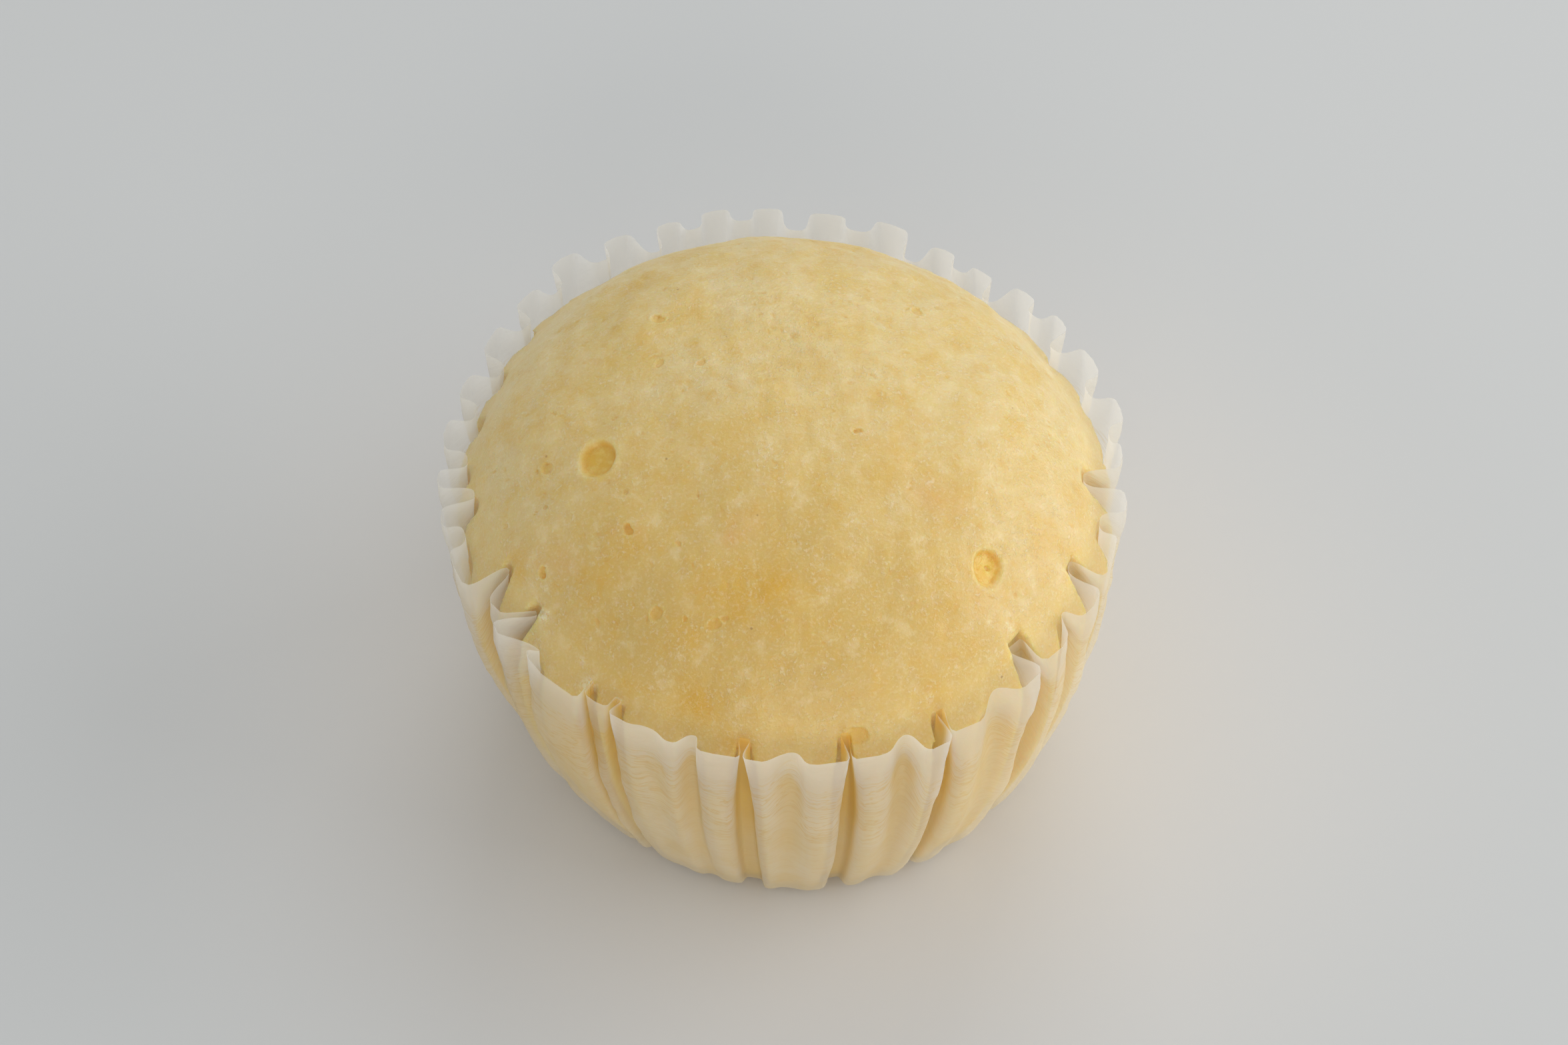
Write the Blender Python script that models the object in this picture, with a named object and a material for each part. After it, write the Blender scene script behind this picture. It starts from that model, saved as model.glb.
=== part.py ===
"""Mini steamed egg cake: a domed steamed sponge in a pleated greaseproof paper case.

Metres, +Z up. The origin is the middle of the base, and the front faces -Y.
Sizes below are in millimetres and azimuths in degrees from the front towards +X.
"""

import bisect
import math

import bmesh
import bpy
from mathutils import Vector
from mathutils.geometry import closest_point_on_tri

MM = 0.001

# The paper case: the wall bellies out between a flat base and a flared rim
CASE_HEIGHT = 31.0
BASE_RADIUS = 21.8
RIM_RADIUS = 28.0
BELLY = 2.2
OVAL = 0.55
OVAL_AZIMUTH = 50.0
PAPER_THICKNESS = 0.2
FLAT_BASE_RADIUS = 19.8
CASE_LEVELS = (1.3, 5.0, 10.5, 17.0, 24.0, CASE_HEIGHT)

# Front pleats, left to right, as they lie in the rim: azimuth of the mouth, depth,
# half width, share by which the mouth is pinched shut, sideways lean of the inner end,
# and how far the crest after it stands out from the oval
FRONT_FOLDS = (
    (-63.9, 3.3, 1.5, 0.30, -1.4, -0.7),
    (-58.5, 3.2, 0.7, 0.80, 1.5, 0.4),
    (-52.3, 1.5, 1.6, 0.00, 1.9, 0.1),
    (-36.8, 1.9, 0.8, 0.80, -0.5, -0.7),
    (-31.5, 1.6, 0.9, 0.70, 0.3, -0.2),
    (-23.0, 0.4, 1.8, 0.00, 0.0, -0.1),
    (-16.6, 1.4, 1.2, 0.15, 0.3, 0.0),
    (-7.4, 2.0, 1.15, 0.85, 0.0, 0.1),
    (-0.5, 1.2, 1.9, 0.00, 0.7, 0.15),
    (10.5, 2.5, 1.15, 0.85, -0.2, 0.0),
    (19.4, 1.8, 1.5, 0.00, 0.4, 0.7),
    (27.3, 2.9, 1.1, 0.85, 0.2, 0.1),
    (37.0, 1.5, 2.0, 0.00, 0.2, -0.3),
    (47.2, 3.6, 1.3, 0.85, 0.1, -0.7),
    (57.0, 1.8, 1.4, 0.00, 0.7, -0.7),
    (66.9, 3.1, 1.8, 0.60, 0.4, -0.8),
)

# The other pleats, on round to the left side: azimuth, depth and crest
BACK_FOLDS = (
    (79.5, 1.9, -0.4), (88.6, 3.2, -0.6), (98.3, 1.3, 0.8), (108.8, 2.0, 0.5),
    (120.0, 2.4, 0.5), (128.0, 1.3, 0.2), (137.0, 2.6, -0.6), (145.5, 1.2, -0.5),
    (154.5, 2.8, 0.1), (166.5, 1.5, -0.2), (178.5, 2.4, 0.3), (188.0, 1.6, 0.4),
    (197.0, 1.2, -0.1), (205.5, 2.6, 0.4), (215.5, 2.2, 0.7), (225.5, 2.0, 0.4),
    (235.0, 2.4, 0.2), (246.5, 2.6, 0.0), (256.5, 2.2, 0.3), (268.0, 2.2, 0.4),
    (275.0, 2.8, 0.5), (283.0, 1.6, 0.6),
)
BACK_CLOSING = 0.35
WIDEST_SHARE = 0.8
CRIMP_AT_BASE = 0.2
WIDTH_PLACE = 0.9
LOOP_ROUNDNESS = 0.6
NECK_PLACE = 0.88
NECK_SPREAD = 0.22
NECK_REACH = 0.4
CLOSING_STARTS = 0.66
CLOSING_POWER = 1.5
PAPER_STEPS = (-0.9, -0.45, 0.0, 0.45, 0.9)
FINE_STEPS = tuple(n / 10 for n in range(-9, 10))

# The sponge: its side follows the case, its top is a high dome
CAKE_TOP = 41.0
SHOULDER_HEIGHT = 21.0
SHOULDER_RADIUS = 26.9
DOME_POWER = 2.8
CAKE_BOTTOM = 0.55
CAKE_CLEARANCE = 0.5
CAKE_LEVELS = (1.3, 5.0, 10.5, 17.0, 24.0, 28.0, CASE_HEIGHT)
DENT_FADE_HEIGHT = 32.4
DENT_FADE = 0.35
DOME_LEVELS = (34.0, 36.0, 37.8, 39.2, 40.3, 40.85)
DOME_SIDES = 76
GROOVE_OFFSETS = (-1.25, -0.65, 0.0, 0.65, 1.25)
GROOVE_ROOM = 0.84
GROOVE_WINDOW = 0.65

# Burst bubbles in the skin: azimuth, distance from the axis, radius, depth
PITS = (
    (-75.9, 15.7, 1.5, 0.9),
    (51.1, 20.3, 1.4, 1.0),
    (-49.9, 16.4, 0.5, 0.4),
    (-59.3, 22.8, 0.5, 0.5),
    (-30.9, 20.0, 0.5, 0.4),
    (-17.1, 19.4, 0.5, 0.4),
    (-132.9, 14.4, 0.5, 0.4),
    (136.4, 15.8, 0.5, 0.4),
)
PIT_SIDES = 12
PIT_RINGS = ((1.12, 0.0), (0.92, 0.3), (0.6, 0.85))

CAKE_COLOUR = (0.80, 0.58, 0.21, 1.0)
PAPER_COLOUR = (0.83, 0.74, 0.55, 1.0)


def at(azimuth, radius, height):
    """A point in metres."""
    turn = math.radians(azimuth)
    return Vector((radius * math.sin(turn), -radius * math.cos(turn), height)) * MM


def wall_radius(azimuth, height):
    """Radius of the case's outer creases: a bellied wall, slightly oval."""
    share = min(1.0, max(0.0, height / CASE_HEIGHT))
    round_radius = RIM_RADIUS - (RIM_RADIUS - BASE_RADIUS) * (1 - share) ** BELLY
    return round_radius + OVAL * math.cos(2 * math.radians(azimuth - OVAL_AZIMUTH))


def all_folds():
    """Every fold round the case as a row like the front ones."""
    folds = list(FRONT_FOLDS)
    for azimuth, depth, crest in BACK_FOLDS:
        folds.append((azimuth, depth, RIM_RADIUS, BACK_CLOSING, 0.0, crest))
    return folds


def room_beside(folds, index, side):
    """Azimuth from a fold to the crest on one side of it."""
    other = folds[(index + side) % len(folds)][0]
    return ((other - folds[index][0]) * side % 360) / 2


def fold_point(folds, index, q, height):
    """Azimuth and radius of a fold's section, for q from -1, its left crest, to 1, its right crest."""
    azimuth, depth, half_width, closing, lean, crest = folds[index]
    share = height / CASE_HEIGHT
    radius = wall_radius(azimuth, height)
    room = math.radians(room_beside(folds, index, 1 if q > 0 else -1)) * radius
    depth *= CRIMP_AT_BASE + (1 - CRIMP_AT_BASE) * share ** (1.3 - closing)
    inward = (1 - abs(q) ** (2 + 1.2 * closing)) ** (1.3 + 0.7 * min(1.0, 2 * closing))
    edge = WIDTH_PLACE**12
    round_end = 1 - LOOP_ROUNDNESS * closing
    near = (min(half_width / room, WIDEST_SHARE) - edge) / (WIDTH_PLACE**round_end - edge)
    spread = room * (near * abs(q) ** round_end + (1 - near) * abs(q) ** 12)
    reach = NECK_SPREAD if abs(q) > NECK_PLACE else NECK_REACH
    neck = math.exp(-(((abs(q) - NECK_PLACE) / reach) ** 2))
    neck -= math.exp(-(((1 - NECK_PLACE) / NECK_SPREAD) ** 2)) * abs(q) ** 16
    pinch = closing * max(0.0, (share - CLOSING_STARTS) / (1 - CLOSING_STARTS)) ** CLOSING_POWER
    sideways = math.copysign(spread * (1 - pinch * neck), q) + lean * share * inward
    there = azimuth + math.degrees(sideways / radius)
    stands_out = ((1 + q) * crest + (1 - q) * folds[index - 1][5]) / 2 * share
    return there, wall_radius(there, height) + stands_out - depth * inward


def case_section(folds, height, steps):
    """The case's section at one height as azimuths and radii, with a crest point after each fold."""
    section = []
    for index in range(len(folds)):
        for q in (*steps, 1.0):
            section.append(fold_point(folds, index, q, height))
    return section


def skin_height(azimuth, distance):
    """Height of the dome's skin at a distance from the axis."""
    across = min(1.0, distance / oval(azimuth) / SHOULDER_RADIUS)
    return SHOULDER_HEIGHT + (CAKE_TOP - SHOULDER_HEIGHT) * (1 - across**2) ** (1 / DOME_POWER)


def dome_radius(azimuth, height):
    """Radius of the sponge above its shoulder."""
    share = max(0.0, (height - SHOULDER_HEIGHT) / (CAKE_TOP - SHOULDER_HEIGHT))
    return SHOULDER_RADIUS * oval(azimuth) * math.sqrt(1 - share**DOME_POWER)


def oval(azimuth):
    return wall_radius(azimuth, CASE_HEIGHT) / RIM_RADIUS


def cake_corners(folds, height):
    """Azimuths of the sponge's corners at a height: five in each groove and one on each rib."""
    share = min(1.0, height / CASE_HEIGHT)
    ends = [fold[0] + math.degrees(fold[4] * share / RIM_RADIUS) for fold in folds]
    corners = []
    for index, end in enumerate(ends):
        before = (end - ends[index - 1]) % 360 / 2
        after = (ends[(index + 1) % len(ends)] - end) % 360 / 2
        for offset in GROOVE_OFFSETS:
            room = (after if offset > 0 else before) * GROOVE_ROOM
            most = room * abs(offset) / GROOVE_OFFSETS[-1]
            step = min(most, math.degrees(abs(offset) / RIM_RADIUS))
            corners.append(end + math.copysign(step, offset))
        corners.append(end + after)
    return corners


def cake_ring(folds, height):
    """One ring of the sponge, inside the case by the clearance and never wider than the dome."""
    level = min(height, CASE_HEIGHT)
    once = sorted(case_section(folds, level, FINE_STEPS))
    section = [(a + turn, r) for turn in (-360, 0, 360) for a, r in once]
    azimuths = [a for a, _ in section]
    window = math.degrees(GROOVE_WINDOW / RIM_RADIUS)
    ring = []
    for azimuth in cake_corners(folds, height):
        low = bisect.bisect_left(azimuths, azimuth - window)
        high = bisect.bisect_right(azimuths, azimuth + window)
        near = [r for _, r in section[low:high]] or [wall_radius(azimuth, level)]
        dent = max(0.0, dome_radius(azimuth, level) - (min(near) - CAKE_CLEARANCE))
        if height > CASE_HEIGHT:
            dent *= DENT_FADE
        ring.append(at(azimuth, dome_radius(azimuth, height) - dent, height))
    return ring


def ring_edges(mesh, loop):
    """The closed loop's edges."""
    return [mesh.edges.get((a, b)) or mesh.edges.new((a, b)) for a, b in zip(loop, loop[1:] + loop[:1])]


def loft(mesh, rings):
    """Walls between rings of points, bottom to top, and the rings' vertices."""
    loops = [[mesh.verts.new(point) for point in ring] for ring in rings]
    for lower, upper in zip(loops, loops[1:]):
        if len(lower) != len(upper):
            bmesh.ops.bridge_loops(mesh, edges=ring_edges(mesh, lower) + ring_edges(mesh, upper))
            continue
        for i in range(len(lower)):
            k = (i + 1) % len(lower)
            mesh.faces.new((lower[i], lower[k], upper[k], upper[i]))
    return loops


def fan(mesh, loop, middle):
    """Triangles from the loop to a point."""
    centre = mesh.verts.new(middle)
    for a, b in zip(loop, loop[1:] + loop[:1]):
        mesh.faces.new((a, b, centre))


def finish(mesh, name, colour, roughness):
    """The mesh as an object with its own material."""
    bmesh.ops.recalc_face_normals(mesh, faces=mesh.faces)
    bmesh.ops.triangulate(mesh, faces=mesh.faces)
    data = bpy.data.meshes.new(name)
    mesh.to_mesh(data)
    mesh.free()
    data.shade_smooth()
    data.set_sharp_from_angle(angle=math.radians(50))
    surface = bpy.data.materials.new(name)
    surface.use_nodes = True
    shader = surface.node_tree.nodes["Principled BSDF"]
    shader.inputs["Base Color"].default_value = colour
    shader.inputs["Roughness"].default_value = roughness
    shader.inputs["Metallic"].default_value = 0.0
    data.materials.append(surface)
    made = bpy.data.objects.new(name, data)
    bpy.context.scene.collection.objects.link(made)
    return made


def make_case(folds):
    """The pleated paper sheet, base and wall in one, given its thickness by Solidify."""
    half = PAPER_THICKNESS / 2
    foot = case_section(folds, 0.0, PAPER_STEPS)
    rings = [
        [at(azimuth, FLAT_BASE_RADIUS, half) for azimuth, _ in foot],
        [at(azimuth, radius - 0.5, half + 0.25) for azimuth, radius in foot],
    ]
    for height in CASE_LEVELS:
        rings.append([at(a, r, height) for a, r in case_section(folds, height, PAPER_STEPS)])
    mesh = bmesh.new()
    loops = loft(mesh, rings)
    fan(mesh, loops[0], at(0, 0, half))
    case = finish(mesh, "paper_case", PAPER_COLOUR, 0.55)
    paper = case.modifiers.new("paper", "SOLIDIFY")
    paper.thickness = PAPER_THICKNESS * MM
    paper.offset = 0.0
    paper.use_even_offset = False


def press_pit(mesh, azimuth, distance, radius, depth):
    """One burst bubble: the skin round it is opened, and a lipped bowl is let in."""
    middle = at(azimuth, distance, skin_height(azimuth, distance))
    rise = skin_height(azimuth, distance + 0.5) - skin_height(azimuth, distance - 0.5)
    outward = at(azimuth, -rise, 1.0).normalized()
    along = outward.orthogonal().normalized()
    across = outward.cross(along)
    reach = (radius * PIT_RINGS[0][0] + 0.2) * MM
    opened = [face for face in mesh.faces if is_near(face, middle, reach)]
    bmesh.ops.delete(mesh, geom=opened, context="FACES")
    border = [edge for edge in mesh.edges if len(edge.link_faces) == 1]
    rings = []
    for wide, deep in PIT_RINGS:
        ring = []
        for n in range(PIT_SIDES):
            turn = 2 * math.pi * n / PIT_SIDES
            spoke = along * math.cos(turn) + across * math.sin(turn)
            point = middle + spoke * radius * wide * MM
            ring.append(on_skin(point) - outward * depth * deep * MM)
        rings.append(ring)
    loops = loft(mesh, rings)
    fan(mesh, loops[-1], middle - outward * depth * MM)
    bmesh.ops.bridge_loops(mesh, edges=border + ring_edges(mesh, loops[0]))


def is_near(face, middle, reach):
    """Whether a face comes within reach of a point."""
    first, *others = [vertex.co for vertex in face.verts]
    nearest = [closest_point_on_tri(middle, first, a, b) for a, b in zip(others, others[1:])]
    return any((point - middle).length < reach for point in nearest)


def on_skin(point):
    """The point moved up or down onto the dome."""
    azimuth = math.degrees(math.atan2(point.x, -point.y))
    distance = math.hypot(point.x, point.y) / MM
    return Vector((point.x, point.y, skin_height(azimuth, distance) * MM))


def make_cake(folds):
    foot = cake_corners(folds, 0.0)
    rings = [[at(azimuth, FLAT_BASE_RADIUS - 0.3, CAKE_BOTTOM) for azimuth in foot]]
    for height in (*CAKE_LEVELS, DENT_FADE_HEIGHT):
        rings.append(cake_ring(folds, height))
    for height in DOME_LEVELS:
        around = [folds[0][0] + 360 * n / DOME_SIDES for n in range(DOME_SIDES)]
        rings.append([at(azimuth, dome_radius(azimuth, height), height) for azimuth in around])
    mesh = bmesh.new()
    loops = loft(mesh, rings)
    fan(mesh, loops[0], at(0, 0, CAKE_BOTTOM))
    fan(mesh, loops[-1], at(0, 0, CAKE_TOP))
    for pit in PITS:
        press_pit(mesh, *pit)
    finish(mesh, "sponge_cake", CAKE_COLOUR, 0.75)


def main():
    for thing in list(bpy.data.objects):
        bpy.data.objects.remove(thing)
    folds = all_folds()
    make_case(folds)
    make_cake(folds)


main()
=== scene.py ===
"""Mini steamed egg cake in a pleated paper case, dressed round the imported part."""
import math
import random

import bmesh
import bpy
import numpy as np
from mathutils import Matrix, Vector


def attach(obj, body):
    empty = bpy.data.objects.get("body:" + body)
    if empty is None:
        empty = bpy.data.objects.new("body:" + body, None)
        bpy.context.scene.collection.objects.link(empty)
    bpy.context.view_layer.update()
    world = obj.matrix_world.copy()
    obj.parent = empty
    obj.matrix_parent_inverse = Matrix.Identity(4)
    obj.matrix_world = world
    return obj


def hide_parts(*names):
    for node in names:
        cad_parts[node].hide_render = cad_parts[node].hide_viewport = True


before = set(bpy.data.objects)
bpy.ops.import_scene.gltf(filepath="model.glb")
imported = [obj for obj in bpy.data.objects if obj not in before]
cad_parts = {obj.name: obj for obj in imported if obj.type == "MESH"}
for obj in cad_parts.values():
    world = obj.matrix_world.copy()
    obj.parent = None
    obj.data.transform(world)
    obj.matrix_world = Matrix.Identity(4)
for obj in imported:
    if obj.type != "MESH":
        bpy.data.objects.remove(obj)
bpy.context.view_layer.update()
MM = 0.001

# The paper case, as in the solid, in millimetres and degrees from the front towards +X
CASE_HEIGHT = 31.0
BASE_RADIUS = 21.8
RIM_RADIUS = 28.0
BELLY = 2.2
OVAL = 0.55
OVAL_AZIMUTH = 50.0
FLAT_BASE_RADIUS = 19.8
# Pleats: azimuth, depth, half width, pinch, lean of the inner end, and the crest after it.
# Those at -7.4, 10.5 and 27.3 are pinched tighter than the solid's, and 47.2 is wider
FRONT_FOLDS = (
    (-63.9, 3.3, 1.5, 0.30, -1.4, -0.7),
    (-58.5, 3.2, 0.7, 0.80, 1.5, 0.4),
    (-52.3, 1.5, 1.6, 0.00, 1.9, 0.1),
    (-36.8, 1.9, 0.8, 0.80, -0.5, -0.7),
    (-31.5, 1.6, 0.9, 0.70, 0.3, -0.2),
    (-23.0, 0.4, 1.8, 0.00, 0.0, -0.1),
    (-16.6, 1.4, 1.2, 0.15, 0.3, 0.0),
    (-7.4, 2.0, 1.15, 0.93, 0.0, 0.1),
    (-0.5, 1.2, 1.9, 0.00, 0.7, 0.15),
    (10.5, 2.5, 1.15, 0.93, -0.2, 0.0),
    (19.4, 1.8, 1.5, 0.00, 0.4, 0.7),
    (27.3, 2.9, 1.1, 0.93, 0.2, 0.1),
    (37.0, 1.5, 2.0, 0.00, 0.2, -0.3),
    (47.2, 3.6, 1.9, 0.85, 0.1, -0.7),
    (57.0, 1.8, 1.4, 0.00, 0.7, -0.7),
    (66.9, 3.1, 1.8, 0.60, 0.4, -0.8),
)
# The rest: azimuth, depth and crest
BACK_FOLDS = (
    (79.5, 1.9, -0.4), (88.6, 3.2, -0.6), (98.3, 1.3, 0.8), (108.8, 2.0, 0.5),
    (120.0, 2.4, 0.5), (128.0, 1.3, 0.2), (137.0, 2.6, -0.6), (145.5, 1.2, -0.5),
    (154.5, 2.8, 0.1), (166.5, 1.5, -0.2), (178.5, 2.4, 0.3), (188.0, 1.6, 0.4),
    (197.0, 1.2, -0.1), (205.5, 2.6, 0.4), (215.5, 2.2, 0.7), (225.5, 2.0, 0.4),
    (235.0, 2.4, 0.2), (246.5, 2.6, 0.0), (256.5, 2.2, 0.3), (268.0, 2.2, 0.4),
    (275.0, 2.8, 0.5), (283.0, 1.6, 0.6),
)
BACK_CLOSING = 0.35
# All folds with the front's six values: those at the back are as wide as their room allows
FOLDS = [*FRONT_FOLDS]
FOLDS += [(a, d, RIM_RADIUS, BACK_CLOSING, 0.0, c) for a, d, c in BACK_FOLDS]
FOLDS = np.array(FOLDS)
WIDEST_SHARE = 0.8
# How a fold's depth grows up the wall: its share at the base, and the power of the height
CRIMP_AT_BASE = 0.2
DEPTH_POWER = 1.3
# The line of a fold from its inner end to its flanks: powers, and what a pinched fold adds
ROUND_POWER, ROUND_GAIN = 2, 1.2
FLANK_POWER, FLANK_GAIN = 1.3, 0.7
# How its points spread sideways: they reach its half width at this share of the way
WIDTH_PLACE = 0.9
OUTER_POWER = 12
LOOP_ROUNDNESS = 0.6
# The neck of a pinched fold: its place, and how far it reaches outward and inward
NECK_PLACE = 0.88
NECK_SPREAD = 0.22
NECK_REACH = 0.4
NECK_END_POWER = 16
CLOSING_STARTS = 0.66
CLOSING_POWER = 1.5
FOLD_STEPS = 26

# The sheet's rows: a flat base, a tight bend of BEND_RADIUS up to BEND_TOP, and the wall
SHEET_LIFT = 0.1
BASE_RINGS = (5.0, 10.0, 15.0, 18.0, FLAT_BASE_RADIUS - 0.6)
BEND_RADIUS = 1.2
BEND_TOP = 1.3
BEND_ROWS = 7
BEND_CROWDING = 1.6
WALL_ROWS = 54
# The paper's unevenness: seed, size of its waves and how far they stray
DRIFT_SEED, DRIFT_SIZE, DRIFT = 5, 7.0, 0.10
CRINKLE_SEED, CRINKLE_SIZE, CRINKLE = 6, 2.2, 0.035
STRAY_LIMITS = (-0.13, 0.30)
STRAY_AT_BASE = 0.3
RIM_DIP = 0.12
RIM_WAVE = 0.14
# The top row is painted pale, a highlight on the cut edge, unless it dips this far below the rim
EDGE_DROP = 0.9
EDGE_FADE = 0.5
# Front pleats whose grooves are soaked up to the rim, and where the others' turn dry
STAINED_FOLDS = (-36.8, -31.5, -7.4, 10.5, 27.3)
DRY_TIPS = 29.0
DRY_TIPS_FADE = 3.0

# The sponge's dome
CAKE_TOP = 41.0
SHOULDER_HEIGHT = 21.0
SHOULDER_RADIUS = 26.9
DOME_POWER = 2.8
CAKE_BOTTOM = 0.4
BOTTOM_INSET = 0.4
# Its gap to the paper, and how much wider that is below WIDE_BELOW
CAKE_GAP = 0.18
LOWER_GAP = 0.15
WIDE_BELOW = 29.0
WIDE_FADE = 3.0
# The paper is sampled finely all round, and the sponge keeps clear of the samples near each
WALL_SAMPLES = 1440
FINER = 8
NARROW_ABOVE = 28.0
NARROW_REACH = 2
WIDE_REACH = 4
# Below the rim the crumb clings to the paper and spreads out to meet it
CLING = 0.7
CLING_DROP = 2.6
# The mesh: a square grid over the dome down to CAP_HEIGHT, then rows that crowd below it
CAP_CELLS = 216
CAP_HEIGHT = 31.0
TRACK_POINTS = 400
DENT_FADE = 0.5
SIDE_ROWS = 40
SIDE_CROWDING = 1.4
SIDE_END = 1.0

# Burst bubbles: azimuth, distance from the axis, radius, depth, how far out of round, tint
PITS = (
    (-75.9, 15.7, 1.66, 0.55, 0.00, 0.95),
    (63.6, 6.4, 0.30, 0.14, 0.30, 0.50),
    (51.6, 20.75, 0.26, 0.22, 0.12, 1.00),
    (-80.7, 19.8, 0.56, 0.12, 0.08, 0.50),
    (-49.9, 16.4, 0.44, 0.25, 0.25, 0.80),
    (-59.3, 22.8, 0.44, 0.25, 0.18, 0.80),
    (-30.9, 20.0, 0.55, 0.14, 0.06, 0.60),
    (-17.1, 19.4, 0.52, 0.13, 0.15, 0.60),
    (-14.9, 18.9, 0.30, 0.10, 0.20, 0.45),
    (-132.9, 14.4, 0.52, 0.10, 0.22, 0.55),
    (136.4, 15.7, 0.48, 0.10, 0.15, 0.45),
    (51.1, 20.6, 1.42, 0.46, 0.09, 0.95),
    (-115.1, 11.5, 0.42, 0.08, 0.15, 0.40),
    (-122.1, 8.2, 0.36, 0.08, 0.15, 0.40),
    (12.6, 25.6, 0.85, 0.12, 0.10, 0.60),
    (-71.0, 20.6, 0.25, 0.08, 0.15, 0.30),
    (-35.0, 15.0, 0.25, 0.08, 0.20, 0.40),
    (-24.0, 19.6, 0.24, 0.08, 0.20, 0.50),
    (-60.0, 14.8, 0.26, 0.08, 0.20, 0.30),
)
# The mesh is made finer out to this many radii from a listed bubble, and a little more
REFINED = 1.5
REFINED_MORE = 0.3
# A bubble's section, in its radii: where its wall ends and how wide the wall is, how round
# its floor is, the lip round it (its height is in mm), its tint, and where all of it ends
BOWL_END, BOWL_WALL = 1.10, 0.32
BOWL_ROUND = 0.30
LIP, LIP_PLACE, LIP_WIDTH = 0.035, 1.2, 0.15
TINT_END, TINT_FADE = 1.08, 0.25
BUBBLE_REACH = 1.8
# Pores strewn at random: how many, out to where, radii, depth in radii, out of round, tint
PORES = 420
PORE_SEED = 21
PORES_OUT_TO = 24.5
PORE_RADIUS = (0.08, 0.22)
PORE_DEPTH = 0.5
PORE_UNEVEN = 0.3
PORE_TINT = 0.35
# Lumps of the skin: seed, size of the waves and height. They start at SKIN_STARTS and are
# full SKIN_FADE above it. All relief goes towards or away from SKIN_CENTRE on the axis
LUMPS = ((11, 9.0, 0.10), (12, 3.5, 0.025), (13, 1.2, 0.015))
LUMP_LIMIT = 0.2
SKIN_STARTS = 22.0
SKIN_FADE = 6.0
SKIN_CENTRE = 16.0
# Loose crumbs stand this far out of the skin, in waves of this seed and size
CRUMB_RISE = 0.12
CRUMB_SEED = 14
CRUMB_SIZE = 0.7

# Tinted patches of the skin: azimuth, distance, reach and strength
GOLD_PATCHES = (
    (-47.6, 20.3, 1.8, 1.0), (-50.5, 21.0, 1.2, 0.6), (-2.7, 16.2, 2.0, 1.0),
    (-19.3, 17.3, 1.9, 0.8), (-11.0, 16.6, 2.2, 0.5), (-16.9, 24.2, 2.0, 1.2),
    (-21.3, 20.7, 1.3, 0.7), (-44.6, 17.2, 1.2, 0.6), (-1.2, 12.1, 1.2, 0.5),
    (64.9, 9.7, 2.0, 0.5), (45.5, 10.7, 1.3, 0.5), (37.0, 20.4, 1.7, 0.6),
    (-104.6, 19.3, 1.6, 0.6), (-53.2, 4.9, 1.0, 0.4), (-11.2, 18.7, 1.2, 0.6),
    (-8.9, 25.4, 1.2, 0.8), (0.6, 25.0, 0.9, 0.7), (66.5, 22.7, 1.6, 0.6),
    (110.7, 22.4, 1.5, 0.5), (-96.5, 23.0, 1.8, 0.6), (129.2, 4.2, 1.2, 0.4),
    (-154.8, 22.3, 2.0, 0.6), (168.0, 21.5, 3.0, 0.5), (-140.0, 20.0, 2.0, 0.4),
    (34.0, 22.6, 1.8, 0.5), (86.0, 9.0, 2.0, 0.3), (-66.0, 24.0, 1.8, 0.7),
    (-30.0, 24.6, 1.4, 0.7), (28.0, 24.8, 1.6, 0.6), (80.0, 24.0, 2.0, 0.5),
)
BLUSH_PATCHES = (
    (-20.1, 13.0, 0.7, 1.0), (-16.0, 11.6, 1.5, 0.5), (55.9, 14.0, 1.7, 0.7),
    (58.0, 16.2, 1.3, 0.5), (-57.0, 21.4, 1.3, 0.6), (63.0, 6.8, 1.0, 0.3),
    (-47.3, 16.0, 0.5, 0.8), (-61.0, 22.6, 0.7, 0.5), (45.0, 21.8, 1.2, 0.3),
    (-52.0, 17.0, 0.6, 0.4),
)
# Pale crumbs that cling where folds press into the skin
PALE_PATCHES = (
    (-53.6, 24.3, 0.55, 1.3), (-38.6, 25.2, 0.65, 1.3), (47.4, 24.3, 0.50, 0.5),
    (-41.5, 24.6, 0.35, 0.8), (-56.5, 23.2, 0.30, 0.7), (44.0, 23.2, 0.30, 0.6),
    (27.0, 25.0, 0.35, 0.7), (-31.0, 25.1, 0.40, 0.6),
)
STRONGEST_PATCH = 1.5

# Colours, linear
CREAM = (0.80, 0.62, 0.28)
BUTTER = (0.77, 0.555, 0.18)
# Painted shade: the crumb darker and more golden towards the front
FRONT_SHADED_BUTTER = (0.70, 0.48, 0.14)
# Paler cream at the sides: painted light towards the right, where light comes through the paper
SIDE_CREAM = (0.80, 0.64, 0.33)
GOLD = (0.73, 0.445, 0.07)
BLUSH = (0.75, 0.42, 0.13)
PALE_CRUMB = (0.92, 0.80, 0.53)
# Pale loose crumbs, and the colour of the painted glints on the flecks
LOOSE_CRUMB_AND_GLINT = (0.94, 0.86, 0.64)
PIT_FLOOR = (0.80, 0.49, 0.06)
PIT_PALE = (0.86, 0.62, 0.16)
# Painted light: a brighter crumb towards the rim, against the shade of the crevice by the paper
RIM_PAINTED_LIGHT = (0.83, 0.64, 0.27)
DRY_PAPER = (0.93, 0.91, 0.86)
# Painted light: dry paper paler and cooler at the back and sides, away from the sponge's warm
# bounced light
DRY_PALE_AWAY_FROM_BOUNCE = (0.95, 0.935, 0.90)
SOAKED_PAPER = (0.95, 0.89, 0.71)
SOAKED_PALE = (0.96, 0.93, 0.82)
SOAKED_GOLD = (0.95, 0.79, 0.44)
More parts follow.
